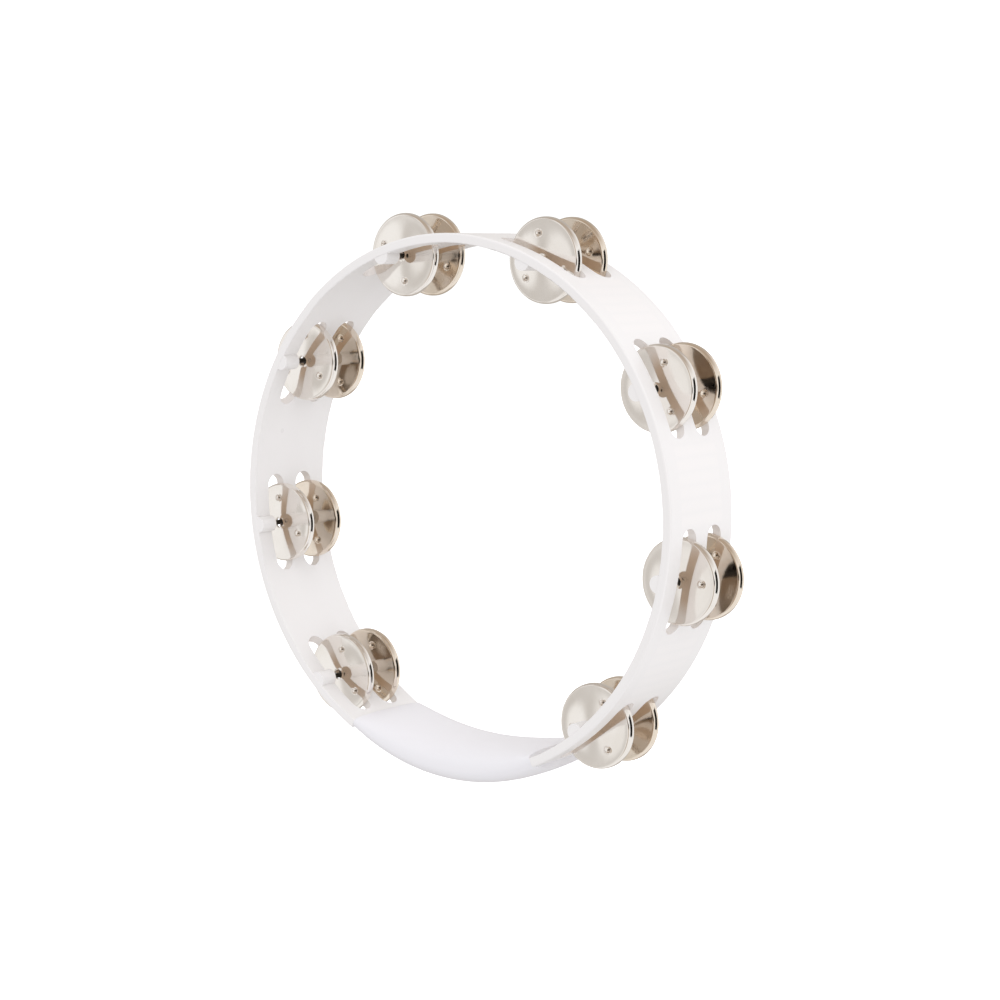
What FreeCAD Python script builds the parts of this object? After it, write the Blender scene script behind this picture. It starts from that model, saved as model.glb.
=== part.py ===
"""Tambourine: a moulded plastic hoop with two rows of steel jingles and an oval hand grip.

Units are millimetres. The hoop stands upright with its axis along Y and its front rim toward -Y.
The grip is at the bottom, and the origin is the middle of the grip. Each place round the hoop has
two slots side by side, with one jingle in each, and one pin runs through both jingles.
"""
import FreeCAD, Part
import math
import os
from FreeCAD import Vector

# Hoop
HOOP_OUTER_R = 127.0
HOOP_WALL = 4.4
HOOP_DEPTH = 49.7
HOOP_OUTER_EDGE_R = 1.0
HOOP_INNER_EDGE_R = 0.5

# Places: nine equal steps round the hoop, the ninth one is the grip
PLACE_STEP = 40.0
PLACE_COUNT = 8
GRIP_ANGLE = -90.0

# Slots, two side by side at each place
SLOT_LENGTH = 48.6
SLOT_WIDTH = 11.0
SLOT_PITCH = 19.8

# Pins and the bosses that hold them
PIN_CIRCLE_R = 122.6
PIN_R = 1.2
PIN_TIP_Y = -22.0
PIN_TIP_CHAMFER = 0.4
PIN_HEAD_R = 2.2
PIN_HEAD_THICKNESS = 0.8
PIN_HEAD_SINK = 0.4
HEAD_POCKET_R = 2.3
BOSS_R = 4.0
BOSS_INSET = 0.3

# Jingles. The holes are loose on the pins, and each pair has settled a little to one side.
JINGLE_R = 19.8
JINGLE_SHEET = 0.5
JINGLE_DEPTH = 3.3
JINGLE_CORNER_R = 2.2
JINGLE_HOLE_R = 2.25
JINGLE_DOME_R = 16.5
JINGLE_DOME_RISE = 1.25
JINGLE_STOP_GAP = 0.35
DIMPLE_COUNT = 3
DIMPLE_CIRCLE_R = 12.5
DIMPLE_BALL_R = 2.6
DIMPLE_DEPTH = 0.4
SETTLED_X = [-0.9, -0.2, -0.7, -0.65, -0.65, 0.4, 0.4, 0.0]
SETTLED_Z = [-0.3, -0.9, 0.6, 0.65, 0.45, -0.2, -0.2, 0.6]
FRONT_SPINS = [70, 2, 72, 102, 38, 87, 99, 85]
BACK_SPINS = [50, 57, 110, 20, 95, 60, 65, 74]

# Grip
GRIP_CENTRE_R = 122.75
GRIP_HALF_ANGLE = 26.0
GRIP_HALF_DEPTH = 24.85
GRIP_OUTER_RISE = 9.75
GRIP_OUTER_SPAN = 38.0
GRIP_INNER_RISE = 10.0
GRIP_INNER_SPAN = 27.0
GRIP_POWER = 2.6
GRIP_SECTION_POINTS = 32
GRIP_STATION_ANGLES = [26.0, 24.5, 22.0, 19.0, 15.5, 10.5, 5.0]
CORE_HALF_DEPTH = 17.0

HOOP_INNER_R = HOOP_OUTER_R - HOOP_WALL
HALF_DEPTH = HOOP_DEPTH / 2
SLOT_INNER_Y = (SLOT_PITCH - SLOT_WIDTH) / 2
SLOT_OUTER_Y = (SLOT_PITCH + SLOT_WIDTH) / 2
CENTRE = Vector(0, 0, GRIP_CENTRE_R)
AXIS_Y = Vector(0, 1, 0)


def place_angle(place):
    """Angle of a place, counted round the hoop from the grip."""
    return GRIP_ANGLE + PLACE_STEP * place


def hoop_point(radius, angle, y):
    """A point at a radius and angle about the hoop's axis."""
    turn = math.radians(angle)
    return CENTRE + Vector(radius * math.cos(turn), y, radius * math.sin(turn))


def cylinder_y(radius, centre, y_low, y_high):
    """A cylinder along Y through a point in the XZ plane."""
    base = Vector(centre.x, y_low, centre.z)
    return Part.makeCylinder(radius, y_high - y_low, base, AXIS_Y)


def hoop_profile(half_depth):
    """Square-cornered cross-section of the wall at angle 0."""
    corner = CENTRE + Vector(HOOP_INNER_R, -half_depth, 0)
    return Part.makePlane(HOOP_WALL, 2 * half_depth, corner)


def wall_sweep(profile, start_angle, sweep):
    """Turn a cross-section about the hoop's axis."""
    solid = profile.revolve(CENTRE, AXIS_Y, -sweep)
    solid.rotate(CENTRE, AXIS_Y, -start_angle)
    return solid


def slot_cutter(place, row_y):
    """A round-ended prism that cuts one slot through the wall."""
    depth = 6 * HOOP_WALL
    half_straight = (SLOT_LENGTH - SLOT_WIDTH) / 2
    radius = SLOT_WIDTH / 2
    inner = CENTRE + Vector(HOOP_INNER_R - depth / 2, 0, 0)
    cutter = Part.makeBox(
        depth,
        SLOT_WIDTH,
        2 * half_straight,
        inner + Vector(0, row_y - radius, -half_straight),
    )
    for side in (-1, 1):
        end = inner + Vector(0, row_y, side * half_straight)
        cutter = cutter.fuse(Part.makeCylinder(radius, depth, end, Vector(1, 0, 0)))
    cutter = cutter.removeSplitter()
    cutter.rotate(CENTRE, AXIS_Y, -place_angle(place))
    return cutter


def bosses(place):
    """The three half-round bosses that carry one pin: front rim, middle bar and back rim."""
    centre = hoop_point(PIN_CIRCLE_R, place_angle(place), 0)
    end_y = HALF_DEPTH - BOSS_INSET
    spans = [
        (-end_y, -SLOT_OUTER_Y),
        (-SLOT_INNER_Y, SLOT_INNER_Y),
        (SLOT_OUTER_Y, end_y),
    ]
    return [cylinder_y(BOSS_R, centre, low, high) for low, high in spans]


def pin_hole(place):
    """The hole for a pin, blind at the front, with a pocket for its head at the back."""
    centre = hoop_point(PIN_CIRCLE_R, place_angle(place), 0)
    hole = cylinder_y(PIN_R, centre, PIN_TIP_Y, HALF_DEPTH)
    pocket_y = HALF_DEPTH - PIN_HEAD_SINK - PIN_HEAD_THICKNESS
    return hole.fuse(cylinder_y(HEAD_POCKET_R, centre, pocket_y, HALF_DEPTH))


def grip_core():
    """The bar of the hoop's wall that runs on inside the grip."""
    start = GRIP_ANGLE - GRIP_HALF_ANGLE
    return wall_sweep(hoop_profile(CORE_HALF_DEPTH), start, 2 * GRIP_HALF_ANGLE)


def is_rim_edge(edge, radius):
    """True for an edge that runs along the front or back rim at a radius."""
    if not isinstance(edge.Curve, Part.Circle):
        return False
    on_rim = abs(abs(edge.Curve.Center.y) - HALF_DEPTH) < 0.001
    return on_rim and abs(edge.Curve.Radius - radius) < 0.001


def open_wall():
    """The wall from one end of the grip round to the other, with its rim corners rounded."""
    start = GRIP_ANGLE + GRIP_HALF_ANGLE
    wall = wall_sweep(hoop_profile(HALF_DEPTH), start, 360 - 2 * GRIP_HALF_ANGLE)
    outer = [edge for edge in wall.Edges if is_rim_edge(edge, HOOP_OUTER_R)]
    wall = wall.makeFillet(HOOP_OUTER_EDGE_R, outer)
    inner = [edge for edge in wall.Edges if is_rim_edge(edge, HOOP_INNER_R)]
    return wall.makeFillet(HOOP_INNER_EDGE_R, inner)


def hoop_frame():
    """The whole moulding: wall, bosses, slots, pin holes and the bar inside the grip."""
    places = range(1, PLACE_COUNT + 1)
    additions = [grip_core()]
    for place in places:
        additions += bosses(place)
    frame = open_wall().fuse(additions)
    cutters = []
    for place in places:
        cutters.append(slot_cutter(place, -SLOT_PITCH / 2))
        cutters.append(slot_cutter(place, SLOT_PITCH / 2))
        cutters.append(pin_hole(place))
    return frame.cut(cutters).removeSplitter()


def grip_rise(full_rise, span, angle):
    """Height of the grip over the wall's middle, falling off along an ellipse."""
    return full_rise * math.sqrt(1 - (angle / span) ** 2)


def signed_power(value, power):
    """Raise a value's size to a power and keep its sign."""
    return math.copysign(abs(value) ** power, value)


def grip_section(angle):
    """Closed oval wire across the grip, at an angle from its middle."""
    outer = grip_rise(GRIP_OUTER_RISE, GRIP_OUTER_SPAN, angle)
    inner = grip_rise(GRIP_INNER_RISE, GRIP_INNER_SPAN, angle)
    points = []
    for step in range(GRIP_SECTION_POINTS):
        turn = 2 * math.pi * step / GRIP_SECTION_POINTS
        rise = outer if math.sin(turn) >= 0 else inner
        along = GRIP_HALF_DEPTH * signed_power(math.cos(turn), 2 / GRIP_POWER)
        across = rise * signed_power(math.sin(turn), 2 / GRIP_POWER)
        points.append(hoop_point(GRIP_CENTRE_R + across, GRIP_ANGLE + angle, along))
    curve = Part.BSplineCurve()
    curve.interpolate(Points=points, PeriodicFlag=True)
    return Part.Wire([curve.toShape()])


def hand_grip():
    """The oval sleeve moulded round the bar at the bottom of the hoop."""
    lower = [-angle for angle in GRIP_STATION_ANGLES]
    upper = list(reversed(GRIP_STATION_ANGLES))
    sections = [grip_section(angle) for angle in lower + [0.0] + upper]
    sleeve = Part.makeLoft(sections, True, False)
    return sleeve.cut(grip_core())


def jingle_pin(place):
    """A steel pin with a flat head sunk into the back rim."""
    centre = hoop_point(PIN_CIRCLE_R, place_angle(place), 0)
    head_y = HALF_DEPTH - PIN_HEAD_SINK - PIN_HEAD_THICKNESS
    tip_start = PIN_TIP_Y + PIN_TIP_CHAMFER
    tip_base = Vector(centre.x, PIN_TIP_Y, centre.z)
    tip_r = PIN_R - PIN_TIP_CHAMFER
    tip = Part.makeCone(tip_r, PIN_R, PIN_TIP_CHAMFER, tip_base, AXIS_Y)
    shank = cylinder_y(PIN_R, centre, tip_start, head_y)
    head = cylinder_y(PIN_HEAD_R, centre, head_y, head_y + PIN_HEAD_THICKNESS)
    return tip.fuse([shank, head]).removeSplitter()


def face_height(radius):
    """Height of a jingle's low dome over its flat outer ring."""
    return JINGLE_DOME_RISE * (1 - (radius / JINGLE_DOME_R) ** 2)


def face_curve(offset):
    """Spline of a jingle's dome from its hole to its outer ring, moved back by an offset."""
    steps = 14
    width = JINGLE_DOME_R - JINGLE_HOLE_R
    radii = [JINGLE_HOLE_R + width * step / steps for step in range(steps + 1)]
    points = [Vector(radius, offset - face_height(radius), 0) for radius in radii]
    curve = Part.BSplineCurve()
    curve.interpolate(points)
    return curve.toShape()


def ring_line(offset):
    """Straight section of a jingle's flat outer ring, moved back by an offset."""
    start = Vector(JINGLE_DOME_R, offset, 0)
    return Part.makeLine(start, Vector(JINGLE_R - JINGLE_CORNER_R, offset, 0))


def corner_arc(radius):
    """Quarter arc between a jingle's outer ring and its band."""
    centre = Vector(JINGLE_R - JINGLE_CORNER_R, JINGLE_CORNER_R, 0)
    diagonal = radius * math.sqrt(0.5)
    return Part.Arc(
        centre + Vector(0, -radius, 0),
        centre + Vector(diagonal, -diagonal, 0),
        centre + Vector(radius, 0, 0),
    ).toShape()


def jingle_blank():
    """A pressed steel cup: a low dome toward -Y in a flat ring, a rounded shoulder and a short band."""
    outer_arc = corner_arc(JINGLE_CORNER_R)
    inner_arc = corner_arc(JINGLE_CORNER_R - JINGLE_SHEET)
    band_inner_r = JINGLE_R - JINGLE_SHEET
    lip_outer = Vector(JINGLE_R, JINGLE_DEPTH, 0)
    lip_inner = Vector(band_inner_r, JINGLE_DEPTH, 0)
    hole_front = Vector(JINGLE_HOLE_R, -face_height(JINGLE_HOLE_R), 0)
    hole_back = hole_front + Vector(0, JINGLE_SHEET, 0)
    edges = [
        face_curve(0),
        ring_line(0),
        outer_arc,
        Part.makeLine(Vector(JINGLE_R, JINGLE_CORNER_R, 0), lip_outer),
        Part.makeLine(lip_outer, lip_inner),
        Part.makeLine(lip_inner, Vector(band_inner_r, JINGLE_CORNER_R, 0)),
        inner_arc,
        ring_line(JINGLE_SHEET),
        face_curve(JINGLE_SHEET),
        Part.makeLine(hole_back, hole_front),
    ]
    wire = Part.Wire(Part.__sortEdges__(edges))
    return Part.Face(wire).revolve(Vector(0, 0, 0), AXIS_Y, 360)


def dimple_balls(angle):
    """The ball that dents a jingle's face, and the larger one that forms the bump behind it."""
    turn = math.radians(angle)
    face_y = -face_height(DIMPLE_CIRCLE_R)
    centre = Vector(DIMPLE_CIRCLE_R * math.cos(turn), 0, DIMPLE_CIRCLE_R * math.sin(turn))
    centre.y = face_y - DIMPLE_BALL_R + DIMPLE_DEPTH
    dent = Part.makeSphere(DIMPLE_BALL_R, centre)
    bump = Part.makeSphere(DIMPLE_BALL_R + JINGLE_SHEET, centre)
    keep_size = 4 * DIMPLE_BALL_R
    keep_corner = Vector(centre.x - keep_size / 2, face_y + JINGLE_SHEET / 2, centre.z - keep_size / 2)
    behind = Part.makeBox(keep_size, keep_size, keep_size, keep_corner)
    return dent, bump.common(behind)


def jingle_master():
    """One jingle on the Y axis with its edge plane at y = 0 and its first dimple toward +X."""
    dents = []
    bumps = []
    for index in range(DIMPLE_COUNT):
        dent, bump = dimple_balls(360 * index / DIMPLE_COUNT)
        dents.append(dent)
        bumps.append(bump)
    return jingle_blank().fuse(bumps).cut(dents)


def place_jingle(master, place, stop_y, spin):
    """A jingle on its pin, with its open edge just short of the wall behind it."""
    jingle = master.copy()
    jingle.rotate(Vector(0, 0, 0), AXIS_Y, -spin)
    edge_y = stop_y - JINGLE_STOP_GAP - JINGLE_DEPTH
    settled = Vector(SETTLED_X[place - 1], 0, SETTLED_Z[place - 1])
    jingle.translate(hoop_point(PIN_CIRCLE_R, place_angle(place), edge_y) + settled)
    return jingle


def export(shape, node):
    """Write one node, after checking that it is a sound single solid."""
    solid = shape.Solids[0]
    print(node, "solids", len(shape.Solids), "valid", solid.isValid(), "volume", round(solid.Volume))
    solid.exportStep("parts/" + node + ".step")


def main():
    os.makedirs("parts", exist_ok=True)
    export(hoop_frame(), "hoop_frame")
    export(hand_grip(), "hand_grip")
    master = jingle_master()
    for place in range(1, PLACE_COUNT + 1):
        export(jingle_pin(place), f"jingle_pin_{place}")
        front = place_jingle(master, place, -SLOT_INNER_Y, FRONT_SPINS[place - 1])
        export(front, f"front_jingle_{place}")
        back = place_jingle(master, place, SLOT_OUTER_Y, BACK_SPINS[place - 1])
        export(back, f"back_jingle_{place}")


main()
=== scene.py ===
"""Looks for the tambourine: white plastic hoop and grip, nickel-plated jingles, plain white studio."""
import math

import bpy
from mathutils import Matrix, Vector


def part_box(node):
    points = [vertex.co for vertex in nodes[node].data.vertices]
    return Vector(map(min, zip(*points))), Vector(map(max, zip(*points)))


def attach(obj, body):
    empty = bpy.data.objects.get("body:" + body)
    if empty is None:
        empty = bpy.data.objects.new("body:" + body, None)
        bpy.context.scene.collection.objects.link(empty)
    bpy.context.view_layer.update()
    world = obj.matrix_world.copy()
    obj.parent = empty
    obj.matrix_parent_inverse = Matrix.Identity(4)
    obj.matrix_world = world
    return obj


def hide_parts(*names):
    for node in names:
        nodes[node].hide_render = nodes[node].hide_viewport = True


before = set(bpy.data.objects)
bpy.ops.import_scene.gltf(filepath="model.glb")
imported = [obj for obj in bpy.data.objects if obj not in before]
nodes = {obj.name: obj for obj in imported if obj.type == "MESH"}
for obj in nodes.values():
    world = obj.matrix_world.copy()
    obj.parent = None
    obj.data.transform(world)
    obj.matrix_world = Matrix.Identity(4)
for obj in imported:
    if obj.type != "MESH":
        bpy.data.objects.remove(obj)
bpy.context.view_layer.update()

# Lengths are in millimetres and angles in degrees, except where a comment says otherwise
MM = 0.001

# Hoop: a ring about the Y axis, with eight places counted from the grip at the bottom
HOOP_CENTRE_Z = 122.75
HOOP_CENTRE = Vector((0, 0, HOOP_CENTRE_Z)) * MM
PLACES = range(1, 9)
PLACE_STEP = 40.0
WALL_MIDDLE_R = 124.8
WALL_THICKNESS = 4.4
SLOT_PITCH = 19.8
SLOT_WIDTH = 11.0
SLOT_OUTER_Y = (SLOT_PITCH + SLOT_WIDTH) / 2
SLOT_INNER_Y = (SLOT_PITCH - SLOT_WIDTH) / 2
PIN_CIRCLE_R = 122.6
BOSS_R = 4.0

# Cut faces of the slots, painted warm as shade: how far this painted shade stays inside the wall and runs
# past the slots' long sides, and between which distances along the hoop from a pin it lightens as painted
# light
CUT_INSET = 0.1
CUT_MARGIN = 0.6
PAINTED_LIGHT_FROM = 10.0
PAINTED_LIGHT_TO = 18.0

# Painted shade on the bosses' ends: radius of the black disc on the middle bosses, which darkens the
# jingles' holes, and half the depth that a disc reaches
SHADE_DISC_R = 3.9
DISC_HALF_DEPTH = 0.2

# Softness of the sides of these patches of painted shade
EDGE_SOFT = 0.1
BOSS_SOFT = 0.2
SLOT_SOFT = 0.3

# Painted shade on a pin: black in front of the middle boss, where the front jingle rides and its cup shades
# the pin
PIN_SHADE_LENGTH = 8.4
PIN_SHADE_SOFT = 0.4

# Jingle: a thin dished cup with its hollow side to the back
JINGLE_R = 19.8
SHEET = 0.5
BAND_DEPTH = 3.3
CORNER_WIDTH = 1.2
CORNER_DEPTH = 2.3
FLAT_R = JINGLE_R - CORNER_WIDTH
HOLE_R = 2.25
DOME_R = 17.6
DOME_RISE = 1.0
LIP_RISE = 0.3
LIP_WIDTH = 0.6
DIMPLE_COUNT = 3
DIMPLE_CIRCLE_R = 12.5
DIMPLE_R = 1.5
DIMPLE_DEPTH = 0.8
DIMPLE_RIM = 0.18
DIMPLE_RIM_WIDTH = 0.35
# A dark spot at the bottom of each dimple: its radius and the softness of its edge
DIMPLE_SPOT_R = 0.5
DIMPLE_SPOT_SOFT = 0.25

# How far each jingle has turned on its pin, by place
FRONT_SPINS = [70, 2, 72, 102, 38, 87, 99, 85]
BACK_SPINS = [50, 57, 110, 20, 95, 60, 65, 74]

# Fineness of a jingle's mesh, which is closer round the hole's lip and the dimples: radii where
# the rings change spacing, each with the number of rings up to the next, then spokes and steps
LIP_OUTER_R = 4.0
DIMPLE_REACH = 2.3
RINGS = [
    (HOLE_R, 12),
    (LIP_OUTER_R, 18),
    (DIMPLE_CIRCLE_R - DIMPLE_REACH, 34),
    (DIMPLE_CIRCLE_R + DIMPLE_REACH, 10),
]
DIMPLE_HALF_TURN = 10
SPOKES_AT_DIMPLE = 32
SPOKES_BETWEEN = 50
CORNER_STEPS = 12
EDGE_STEPS = 6

# Colours of the materials
HOOP_CLEAN = (0.87, 0.85, 0.835, 1)
HOOP_CLOUDY = (0.85, 0.83, 0.81, 1)
# Painted shade and light on the hoop: warm cut faces in shade, lightening to the slots' ends where more
# light gets in
CUT_FACE_PAINTED_SHADE = (0.84, 0.69, 0.56, 1)
SLOT_END_PAINTED_LIGHT = (0.94, 0.9, 0.87, 1)
# Black painted shade: in the jingles' holes on the middle bosses' ends, and on the pins inside the front
# jingles
BLACK_PAINTED_SHADE = (0.03, 0.025, 0.02, 1)
GRIP_CLEAN = (0.86, 0.85, 0.87, 1)
GRIP_CLOUDY = (0.85, 0.84, 0.86, 1)
NICKEL = (0.87, 0.83, 0.785, 1)
NICKEL_TARNISH = (0.83, 0.785, 0.73, 1)
# Back jingles: the same nickel tinted warm as a painted reflection of the front jingles' brown insides
NICKEL_PAINTED_REFLECTION = (0.83, 0.74, 0.64, 1)
TARNISH_AND_PAINTED_REFLECTION = (0.76, 0.66, 0.54, 1)
INSIDE_METAL = (0.86, 0.58, 0.38, 1)
INSIDE_TARNISH = (0.76, 0.48, 0.3, 1)
DIMPLE_SPOT_COLOUR = (0.1, 0.075, 0.055, 1)
WIRE_DULL = (0.78, 0.76, 0.73, 1)
WIRE_BRIGHT = (0.9, 0.89, 0.87, 1)

# Lowest roughness of each material, and how much its texture adds
HOOP_ROUGHNESS = 0.26
GRIP_ROUGHNESS = 0.34
PLASTIC_ROUGHNESS_RISE = 0.08
NICKEL_ROUGHNESS = 0.06
INSIDE_ROUGHNESS = 0.2
NICKEL_ROUGHNESS_RISE = 0.06
WIRE_ROUGHNESS = 0.22
WIRE_ROUGHNESS_RISE = 0.18
PLASTIC_IOR = 1.49

# Stretch of the noise: fine across a jingle's radius and long round it, and long along a pin
SPUN_STRETCH = (120.0, 1.5, 1.0)
DRAWN_STRETCH = (1.0, 0.03, 1.0)

# Floor: half its width and its height, in metres
FLOOR_HALF = 6.0
FLOOR_Z = -0.17
FLOOR_COLOUR = (0.9, 0.9, 0.9, 1)
FLOOR_ROUGHNESS = 0.9
FLOOR_GLOW = 0.6

# Strength of the surroundings: the plain backdrop, the studio that the metal mirrors, and the soft
# light on all else, which is a little stronger from +X and from above
WHITE = (1.0, 1.0, 1.0, 1)
DAYLIGHT = (0.985, 0.98, 1.0, 1)
BACKDROP_LIGHT = 1.1
MIRRORED_LIGHT = 1.0
EVEN_LIGHT = 1.03
SIDE_LIGHT = 0.12
TOP_LIGHT = 0.2

# The mirrored studio: a white room whose ceiling darkens between two elevations
CEILING = (0.52, 0.44, 0.37, 1)
CEILING_FROM = 25.0
CEILING_TO = 60.0
GREY_CARD = (0.68, 0.66, 0.64, 1)
PALE_CARD = (0.93, 0.92, 0.91, 1)
SHADE = (0.55, 0.51, 0.47, 1)
ROOM = (0.5, 0.4, 0.31, 1)
DESK = (0.05, 0.035, 0.025, 1)
STAND = (0.012, 0.01, 0.01, 1)

# Patches in the studio: azimuth from the front towards +X, elevation, half width, half height,
# softness and colour
STUDIO = [
    (-125, 0, 63, 60, 6, SHADE),
    (-37, 0, 4.3, 50, 1.8, GREY_CARD),
    (-23.5, 0, 9.5, 50, 3.5, PALE_CARD),
    (8, 0, 22, 40, 6, ROOM),
    (23, -2, 27, 5, 1.5, DESK),
    (-20, -9, 4, 7, 3, WHITE),
    (111, 0, 22, 21, 0.6, STAND),
]

# Softbox: its place and size in metres, and its power in watts
SOFTBOX_PLACE = Vector((1.6, -0.5, 1.0))
SOFTBOX_SIZE = 1.2
SOFTBOX_POWER = 0.5
SOFTBOX_COLOUR = (0.96, 0.98, 1.0)

# Camera: where it stands from the hoop's centre, how it is turned, and its sensor and lens
CAMERA_OFFSET = Vector((651.8, -811.5, 139.9)) * MM
CAMERA_AZIMUTH = 38.18
CAMERA_ELEVATION = 7.57
CAMERA_ROLL = -1.38
SENSOR_WIDTH = 36.0
LENS = 79.7
CLIP_START = 50 * MM


# ---------------------------------------------------------------- shader nodes

# Places of the colour sockets on the Mix node
MIX_FIRST = 6
MIX_SECOND = 7
MIX_RESULT = 2


def new_material(name):
    """A material with only its Principled shader and output."""
    material = bpy.data.materials.new(name)
    material.use_nodes = True
    tree = material.node_tree
    return material, tree, tree.nodes["Principled BSDF"]


def feed(tree, socket, value):
    """Link a node's output to an input, or set the input to a number or colour."""
    if isinstance(value, bpy.types.NodeSocket):
        tree.links.new(value, socket)
    else:
        socket.default_value = value


def add_node(tree, kind, **inputs):
    """A node with some of its inputs fed."""
    node = tree.nodes.new(kind)
    for key, value in inputs.items():
        feed(tree, node.inputs[key], value)
    return node


def coordinates(tree, kind):
    """Texture coordinates. Object ones are metres in the part's own frame, on every piece of it."""
    return tree.nodes.new("ShaderNodeTexCoord").outputs[kind]


def maths(tree, operation, *values):
    """A math node on sockets or numbers."""
    node = tree.nodes.new("ShaderNodeMath")
    node.operation = operation
    for socket, value in zip(node.inputs, values):
        feed(tree, socket, value)
    return node.outputs[0]


def noise(tree, vector, scale, detail, roughness=0.5):
    """Noise at a scale in cycles per unit of the vector."""
    node = add_node(tree, "ShaderNodeTexNoise", Vector=vector, Scale=scale, Detail=detail,
                    Roughness=roughness)
    return node.outputs["Fac"]


def stretched(tree, vector, scale):
    """A vector scaled by a different amount along each axis."""
    return add_node(tree, "ShaderNodeMapping", Vector=vector, Scale=scale).outputs["Vector"]


def remap(tree, value, low, high, to_low=0, to_high=1):
    """Map a value from one range to another, clamped."""
    node = tree.nodes.new("ShaderNodeMapRange")
    for socket, part in zip(node.inputs, (value, low, high, to_low, to_high)):
        feed(tree, socket, part)
    return node.outputs[0]


def blend_colours(tree, factor, first, second):
    """Mix two colours by a factor: the first at 0 and the second at 1."""
    node = tree.nodes.new("ShaderNodeMix")
    node.data_type = "RGBA"
    feed(tree, node.inputs["Factor"], factor)
    feed(tree, node.inputs[MIX_FIRST], first)
    feed(tree, node.inputs[MIX_SECOND], second)
    return node.outputs[MIX_RESULT]


def add_roughness(tree, shader, texture, low, high, lowest, rise):
    """Roughness that rises with a texture, over the texture's range from low to high."""
    feed(tree, shader.inputs["Roughness"], remap(tree, texture, low, high, lowest, lowest + rise))


def add_bump(tree, shader, height, strength, distance):
    """Bump from a height, after any bump that the shader has. The distance is in mm."""
    node = add_node(tree, "ShaderNodeBump", Height=height, Strength=strength, Distance=distance * MM)
    before = shader.inputs["Normal"].links
    if before:
        feed(tree, node.inputs["Normal"], before[0].from_socket)
    feed(tree, shader.inputs["Normal"], node.outputs["Normal"])


def band(tree, value, middle, half_width, soft):
    """1 inside a band of a value, 0 outside, with soft sides."""
    distance = maths(tree, "ABSOLUTE", maths(tree, "SUBTRACT", value, middle))
    return remap(tree, distance, half_width - soft, half_width + soft, 1, 0)


def length_of(tree, first, second):
    """Length of a two-part vector of sockets."""
    squares = [maths(tree, "MULTIPLY", part, part) for part in (first, second)]
    return maths(tree, "SQRT", maths(tree, "ADD", *squares))


def split(tree, vector):
    """The three parts of a vector."""
    return add_node(tree, "ShaderNodeSeparateXYZ", Vector=vector).outputs


# ---------------------------------------------------------------- materials

def around_pins(tree, x, z):
    """Radius about the hoop's axis, and distances along the hoop and straight from the nearest pin."""
    z = maths(tree, "SUBTRACT", z, HOOP_CENTRE_Z)
    radius = length_of(tree, x, z)
    step = math.radians(PLACE_STEP)
    turn = maths(tree, "ADD", maths(tree, "ARCTAN2", z, x), 2 * math.pi + math.pi / 2 + step / 2)
    turn = maths(tree, "SUBTRACT", maths(tree, "MODULO", turn, step), step / 2)
    along = maths(tree, "MULTIPLY", turn, PIN_CIRCLE_R)
    from_pin = length_of(tree, along, maths(tree, "SUBTRACT", radius, PIN_CIRCLE_R))
    return radius, along, from_pin


def disc(tree, from_pin, y, disc_r, soft, disc_y):
    """1 on a disc about each pin at one depth, 0 elsewhere."""
    face = band(tree, from_pin, 0.0, disc_r, soft)
    depth = band(tree, y, disc_y, DISC_HALF_DEPTH, EDGE_SOFT)
    return maths(tree, "MULTIPLY", face, depth)


def add_hoop_painted_shade(tree, where, colour):
    """Painted shade: warm slot faces, lighter as painted light at the slots' ends, warm front boss ends,
    black middle boss ends.
    """
    x, y, z = [maths(tree, "DIVIDE", part, MM) for part in split(tree, where)]
    radius, along, from_pin = around_pins(tree, x, z)
    in_wall = band(tree, radius, WALL_MIDDLE_R, WALL_THICKNESS / 2 - CUT_INSET, EDGE_SOFT)
    in_slots = band(tree, y, 0.0, SLOT_OUTER_Y + CUT_MARGIN, SLOT_SOFT)
    boss_end = disc(tree, from_pin, y, BOSS_R, BOSS_SOFT, -SLOT_OUTER_Y)
    cut = maths(tree, "MAXIMUM", maths(tree, "MULTIPLY", in_wall, in_slots), boss_end)
    slot_end_light = remap(tree, maths(tree, "ABSOLUTE", along), PAINTED_LIGHT_FROM, PAINTED_LIGHT_TO)
    colour = blend_colours(tree, cut, colour, blend_colours(tree, slot_end_light, CUT_FACE_PAINTED_SHADE, SLOT_END_PAINTED_LIGHT))
    # Black disc of painted shade on each middle boss's end, seen through the front jingle's hole
    hole_shade = disc(tree, from_pin, y, SHADE_DISC_R, SLOT_SOFT, -SLOT_INNER_Y)
    return blend_colours(tree, hole_shade, colour, BLACK_PAINTED_SHADE)


def plastic(name, clean, cloudy, roughness, marks=None):
    """Moulded plastic: faintly cloudy colour, uneven gloss, a very fine grain and any marks."""
    material, tree, shader = new_material(name)
    where = coordinates(tree, "Object")
    cloud = noise(tree, where, scale=14.0, detail=1.0)
    colour = blend_colours(tree, remap(tree, cloud, low=0.1, high=0.9), clean, cloudy)
    if marks:
        colour = marks(tree, where, colour)
    feed(tree, shader.inputs["Base Color"], colour)
    wear = noise(tree, where, scale=40.0, detail=2.0)
    add_roughness(tree, shader, wear, low=0.1, high=0.9, lowest=roughness, rise=PLASTIC_ROUGHNESS_RISE)
    grain = noise(tree, where, scale=900.0, detail=2.0)
    add_bump(tree, shader, grain, strength=0.02, distance=0.1)
    shader.inputs["IOR"].default_value = PLASTIC_IOR
    return material


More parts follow.
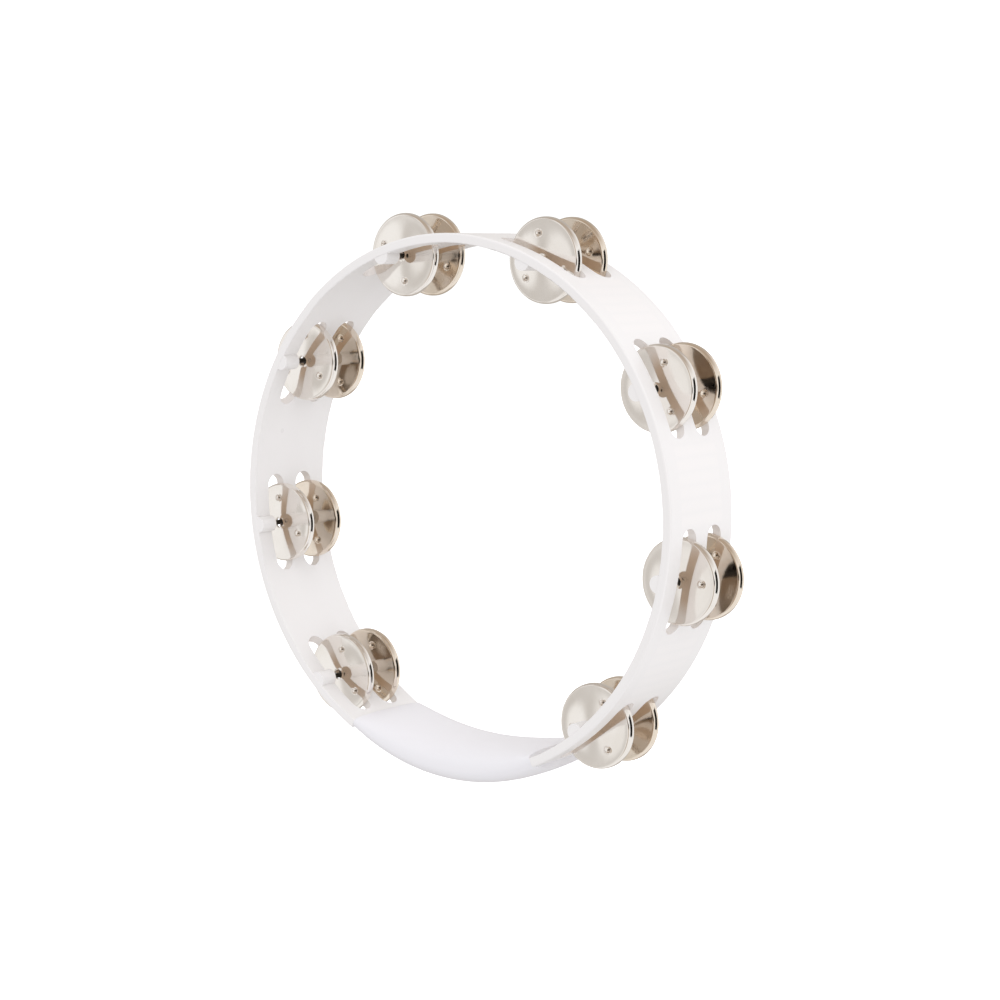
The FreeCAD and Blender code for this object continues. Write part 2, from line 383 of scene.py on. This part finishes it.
def dimple_dark_spot(tree, rings):
    """A small dark spot at the bottom of each pressed dimple, from the jingle's radius and turn."""
    radius, turn, _ = split(tree, rings)
    turn = maths(tree, "MULTIPLY", turn, DIMPLE_COUNT)
    turn = maths(tree, "MODULO", maths(tree, "ADD", turn, DIMPLE_COUNT + 0.5), 1.0)
    spacing = 2 * math.pi / DIMPLE_COUNT * DIMPLE_CIRCLE_R
    along = maths(tree, "MULTIPLY", maths(tree, "SUBTRACT", turn, 0.5), spacing)
    across = maths(tree, "SUBTRACT", maths(tree, "MULTIPLY", radius, JINGLE_R), DIMPLE_CIRCLE_R)
    return band(tree, length_of(tree, along, across), 0.0, DIMPLE_SPOT_R, DIMPLE_SPOT_SOFT)


def nickel(name, bright, tarnish, roughness):
    """Nickel-plated pressed steel: cloudy tarnish, spun ring marks, faint dents and a dark spot in each
    dimple.
    """
    material, tree, shader = new_material(name)
    rings = coordinates(tree, "UV")
    where = coordinates(tree, "Object")
    cloud = noise(tree, where, scale=90.0, detail=5.0, roughness=0.6)
    colour = blend_colours(tree, remap(tree, cloud, low=0.4, high=0.75), bright, tarnish)
    colour = blend_colours(tree, dimple_dark_spot(tree, rings), colour, DIMPLE_SPOT_COLOUR)
    feed(tree, shader.inputs["Base Color"], colour)
    spun = noise(tree, stretched(tree, rings, SPUN_STRETCH), scale=1.0, detail=3.0)
    add_roughness(tree, shader, spun, low=0.3, high=0.75, lowest=roughness, rise=NICKEL_ROUGHNESS_RISE)
    add_bump(tree, shader, spun, strength=0.03, distance=0.1)
    dents = noise(tree, where, scale=200.0, detail=2.0)
    add_bump(tree, shader, dents, strength=0.05, distance=0.3)
    shader.inputs["Metallic"].default_value = 1.0
    return material


def drawn_wire(name):
    """Drawn steel wire: bright, with streaks along the pin, and black painted shade in front of the middle
    boss.
    """
    material, tree, shader = new_material(name)
    where = coordinates(tree, "Object")
    streak = noise(tree, stretched(tree, where, DRAWN_STRETCH), scale=3000.0, detail=3.0)
    colour = blend_colours(tree, streak, WIRE_DULL, WIRE_BRIGHT)
    y = maths(tree, "DIVIDE", split(tree, where)["Y"], MM)
    half = PIN_SHADE_LENGTH / 2
    dark = band(tree, y, -SLOT_INNER_Y - half, half, PIN_SHADE_SOFT)
    feed(tree, shader.inputs["Base Color"], blend_colours(tree, dark, colour, BLACK_PAINTED_SHADE))
    add_roughness(tree, shader, streak, low=0.3, high=0.7, lowest=WIRE_ROUGHNESS,
                  rise=WIRE_ROUGHNESS_RISE)
    add_bump(tree, shader, streak, strength=0.15, distance=0.1)
    shader.inputs["Metallic"].default_value = 1.0
    return material


def paint(obj, *materials):
    """Give an object its materials."""
    obj.data.materials.clear()
    for material in materials:
        obj.data.materials.append(material)


# ---------------------------------------------------------------- jingles

def face_height(radius):
    """Height of a jingle's low dome over its flat outer ring, with a raised lip at the hole."""
    dome = DOME_RISE * max(0.0, 1 - (radius / DOME_R) ** 2) ** 2
    lip = LIP_RISE * math.exp(-((radius - HOLE_R) / LIP_WIDTH) ** 2)
    return dome + lip


def spread(start, stop, steps):
    """Evenly spaced numbers from a start up to, but not at, a stop."""
    return [start + (stop - start) * step / steps for step in range(steps)]


def ring_radii():
    """Radii of the mesh's rings from the hole to the flat ring's outer edge."""
    stops = [radius for radius, _ in RINGS[1:]] + [FLAT_R]
    radii = []
    for (start, steps), stop in zip(RINGS, stops):
        radii += spread(start, stop, steps)
    return radii + [FLAT_R]


def shoulder(turns, width, depth):
    """Points (radius, depth) of an oval quarter turn from the flat ring to the band."""
    return [(FLAT_R + width * math.sin(t), CORNER_DEPTH - depth * math.cos(t)) for t in turns]


def jingle_profile():
    """Points (radius, depth) round the sheet's section, and how many of them are on its outside."""
    radii = ring_radii()
    turns = [math.pi / 2 * step / CORNER_STEPS for step in range(1, CORNER_STEPS + 1)]
    edge_r = SHEET / 2
    middle = JINGLE_R - edge_r
    end = BAND_DEPTH - edge_r
    edge_turns = [math.pi * step / EDGE_STEPS for step in range(1, EDGE_STEPS)]
    outside = [(radius, -face_height(radius)) for radius in radii]
    outside += shoulder(turns, CORNER_WIDTH, CORNER_DEPTH)
    outside.append((JINGLE_R, end))
    outside += [(middle + edge_r * math.cos(t), end + edge_r * math.sin(t)) for t in edge_turns]
    inside = [(middle - edge_r, end)]
    inside += shoulder(reversed(turns), CORNER_WIDTH - SHEET, CORNER_DEPTH - SHEET)
    inside += [(radius, SHEET - face_height(radius)) for radius in reversed(radii)]
    return outside + inside, len(outside)


def dimple_push(radius, turn):
    """How far the pressed dimples and their raised rims move a point of the face back."""
    push = 0.0
    for index in range(DIMPLE_COUNT):
        gap = turn - index * 2 * math.pi / DIMPLE_COUNT
        distance = math.sqrt(max(0.0, radius ** 2 + DIMPLE_CIRCLE_R ** 2
                                 - 2 * radius * DIMPLE_CIRCLE_R * math.cos(gap)))
        if distance < DIMPLE_R:
            push += DIMPLE_DEPTH * (1 - (distance / DIMPLE_R) ** 2)
        if distance < 2 * DIMPLE_R:
            push -= DIMPLE_RIM * math.exp(-((distance - DIMPLE_R) / DIMPLE_RIM_WIDTH) ** 2)
    return push


def spoke_turns():
    """Angles of the mesh's spokes, closer together across each dimple."""
    spacing = 360 // DIMPLE_COUNT
    turns = []
    for middle in range(0, 360, spacing):
        side = middle + DIMPLE_HALF_TURN
        turns += spread(middle - DIMPLE_HALF_TURN, side, SPOKES_AT_DIMPLE)
        turns += spread(side, middle + spacing - DIMPLE_HALF_TURN, SPOKES_BETWEEN)
    return [math.radians(turn) for turn in turns]


def jingle_grid(profile, turns):
    """Points in metres and faces of the profile swept about the Y axis, and pressed with dimples."""
    points = []
    for turn in turns:
        for radius, depth in profile:
            y = depth + dimple_push(radius, turn)
            points.append((radius * math.cos(turn) * MM, y * MM, radius * math.sin(turn) * MM))
    faces = []
    rows = len(profile)
    for spoke in range(len(turns)):
        here = spoke * rows
        there = (spoke + 1) % len(turns) * rows
        for row in range(rows):
            after = (row + 1) % rows
            faces.append((here + row, here + after, there + after, there + row))
    return points, faces


def jingle_mesh(name):
    """One jingle about the Y axis in metres, with its first dimple toward +X."""
    profile, outside_rows = jingle_profile()
    rows = len(profile)
    points, faces = jingle_grid(profile, spoke_turns())
    mesh = bpy.data.meshes.new(name)
    mesh.from_pydata(points, [], faces)
    layer = mesh.uv_layers.new(name="rings")
    for face in mesh.polygons:
        row = face.index % rows
        is_inside = outside_rows <= row < rows - 1
        face.material_index = 1 if is_inside else 0
        for loop, vertex in zip(face.loop_indices, face.vertices):
            x, _, z = points[vertex]
            layer.data[loop].uv = (math.hypot(x, z) / (JINGLE_R * MM), math.atan2(z, x) / (2 * math.pi))
    mesh.shade_smooth()
    mesh.update()
    return mesh


def jingle_place(node):
    """Centre of a CAD jingle's flat ring: in the middle of its box, one depth before its open edge."""
    low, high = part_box(node)
    return Vector(((low[0] + high[0]) / 2, high[1] - BAND_DEPTH * MM, (low[2] + high[2]) / 2))


def add_jingle(node, spin, outside, inside):
    """A detailed jingle in place of its CAD solid."""
    mesh = jingle_mesh(node + "_mesh")
    turned = Matrix.Rotation(-math.radians(spin), 4, "Y")
    mesh.transform(Matrix.Translation(jingle_place(node)) @ turned)
    obj = bpy.data.objects.new(node + "_pressed", mesh)
    bpy.context.scene.collection.objects.link(obj)
    paint(obj, outside, inside)
    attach(obj, node)
    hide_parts(node)


# ---------------------------------------------------------------- studio

def add_floor():
    """A plain pale floor well below the held instrument."""
    mesh = bpy.data.meshes.new("floor")
    corners = [(x * FLOOR_HALF, y * FLOOR_HALF, FLOOR_Z) for x, y in ((-1, -1), (1, -1), (1, 1), (-1, 1))]
    mesh.from_pydata(corners, [], [(0, 1, 2, 3)])
    floor = bpy.data.objects.new("floor", mesh)
    bpy.context.scene.collection.objects.link(floor)
    material, _, shader = new_material("floor_white")
    shader.inputs["Base Color"].default_value = FLOOR_COLOUR
    shader.inputs["Roughness"].default_value = FLOOR_ROUGHNESS
    shader.inputs["Specular IOR Level"].default_value = 0.0
    shader.inputs["Emission Color"].default_value = WHITE
    shader.inputs["Emission Strength"].default_value = FLOOR_GLOW
    paint(floor, material)
    floor.visible_glossy = False
    floor.visible_diffuse = False


def patch(tree, around, above, azimuth, elevation, half_width, half_height, soft):
    """1 inside a rectangle of directions."""
    soft = math.radians(soft)
    across = band(tree, around, math.radians(azimuth), math.radians(half_width), soft)
    upright = band(tree, above, math.radians(elevation), math.radians(half_height), soft)
    return maths(tree, "MULTIPLY", across, upright)


def mirrored_studio(tree, x, y, z):
    """Colour of the studio in a direction: white, with a warm ceiling and the patches over it."""
    around = maths(tree, "ARCTAN2", x, maths(tree, "MULTIPLY", y, -1.0))
    above = maths(tree, "ARCTAN2", z, length_of(tree, x, y))
    ceiling = remap(tree, above, math.radians(CEILING_FROM), math.radians(CEILING_TO))
    colour = blend_colours(tree, ceiling, WHITE, CEILING)
    for *shape, shade in STUDIO:
        colour = blend_colours(tree, patch(tree, around, above, *shape), colour, shade)
    return colour


def background(tree, colour, strength):
    """Light of one colour and strength from all round."""
    return add_node(tree, "ShaderNodeBackground", Color=colour, Strength=strength).outputs[0]


def choose(tree, factor, first, second):
    """The first shader where a factor is 0 and the second where it is 1."""
    node = tree.nodes.new("ShaderNodeMixShader")
    for socket, value in zip(node.inputs, (factor, first, second)):
        feed(tree, socket, value)
    return node.outputs[0]


def add_world():
    """White surroundings: a plain backdrop, a soft light, and the studio that only the metal mirrors."""
    world = bpy.data.worlds.new("studio")
    bpy.context.scene.world = world
    world.use_nodes = True
    tree = world.node_tree
    tree.nodes.clear()
    x, y, z = split(tree, coordinates(tree, "Generated"))
    from_side = maths(tree, "MULTIPLY", x, SIDE_LIGHT)
    from_top = maths(tree, "MULTIPLY", z, TOP_LIGHT)
    strength = maths(tree, "ADD", maths(tree, "ADD", from_side, from_top), EVEN_LIGHT)
    soft_light = background(tree, DAYLIGHT, strength)
    mirrored = background(tree, mirrored_studio(tree, x, y, z), MIRRORED_LIGHT)
    backdrop = background(tree, WHITE, BACKDROP_LIGHT)
    ray = tree.nodes.new("ShaderNodeLightPath").outputs
    light = choose(tree, ray["Is Glossy Ray"], soft_light, mirrored)
    surface = choose(tree, ray["Is Camera Ray"], light, backdrop)
    add_node(tree, "ShaderNodeOutputWorld", Surface=surface)


def add_softbox():
    """A weak square light aimed at the hoop's centre."""
    light = bpy.data.lights.new("key", "AREA")
    light.size = SOFTBOX_SIZE
    light.energy = SOFTBOX_POWER
    light.color = SOFTBOX_COLOUR
    obj = bpy.data.objects.new("key", light)
    obj.location = SOFTBOX_PLACE
    obj.rotation_euler = (HOOP_CENTRE - SOFTBOX_PLACE).to_track_quat("-Z", "Y").to_euler()
    obj.visible_glossy = False
    bpy.context.scene.collection.objects.link(obj)


def add_camera():
    """A long lens to the front right, slightly above the hoop's centre."""
    azimuth = math.radians(CAMERA_AZIMUTH)
    elevation = math.radians(CAMERA_ELEVATION)
    roll = math.radians(CAMERA_ROLL)
    back = Vector((math.sin(azimuth) * math.cos(elevation),
                   -math.cos(azimuth) * math.cos(elevation),
                   math.sin(elevation)))
    level = Vector((0, 0, 1)).cross(back).normalized()
    upright = back.cross(level)
    right = level * math.cos(roll) - upright * math.sin(roll)
    up = level * math.sin(roll) + upright * math.cos(roll)
    matrix = Matrix((right, up, back)).transposed().to_4x4()
    matrix.translation = HOOP_CENTRE + CAMERA_OFFSET
    data = bpy.data.cameras.new("camera")
    data.sensor_width = SENSOR_WIDTH
    data.lens = LENS
    data.clip_start = CLIP_START
    camera = bpy.data.objects.new("camera", data)
    camera.matrix_world = matrix
    bpy.context.scene.collection.objects.link(camera)
    bpy.context.scene.camera = camera


# ---------------------------------------------------------------- assembly

hoop_white = plastic("hoop_plastic", HOOP_CLEAN, HOOP_CLOUDY, HOOP_ROUGHNESS, add_hoop_painted_shade)
grip_white = plastic("grip_plastic", GRIP_CLEAN, GRIP_CLOUDY, GRIP_ROUGHNESS)
bright_nickel = nickel("jingle_nickel", NICKEL, NICKEL_TARNISH, NICKEL_ROUGHNESS)
# The back jingles' warm tint is a painted reflection
nickel_with_painted_reflection = nickel("back_jingle_nickel_painted_reflection", NICKEL_PAINTED_REFLECTION, TARNISH_AND_PAINTED_REFLECTION, NICKEL_ROUGHNESS)
dull_nickel = nickel("jingle_inside", INSIDE_METAL, INSIDE_TARNISH, INSIDE_ROUGHNESS)
pin_steel = drawn_wire("pin_steel")

paint(nodes["hoop_frame"], hoop_white)
paint(nodes["hand_grip"], grip_white)
for place, front_spin, back_spin in zip(PLACES, FRONT_SPINS, BACK_SPINS):
    paint(nodes[f"jingle_pin_{place}"], pin_steel)
    add_jingle(f"front_jingle_{place}", front_spin, bright_nickel, dull_nickel)
    add_jingle(f"back_jingle_{place}", back_spin, nickel_with_painted_reflection, dull_nickel)

add_floor()
add_world()
add_softbox()
add_camera()
bpy.context.scene.view_settings.view_transform = "Standard"
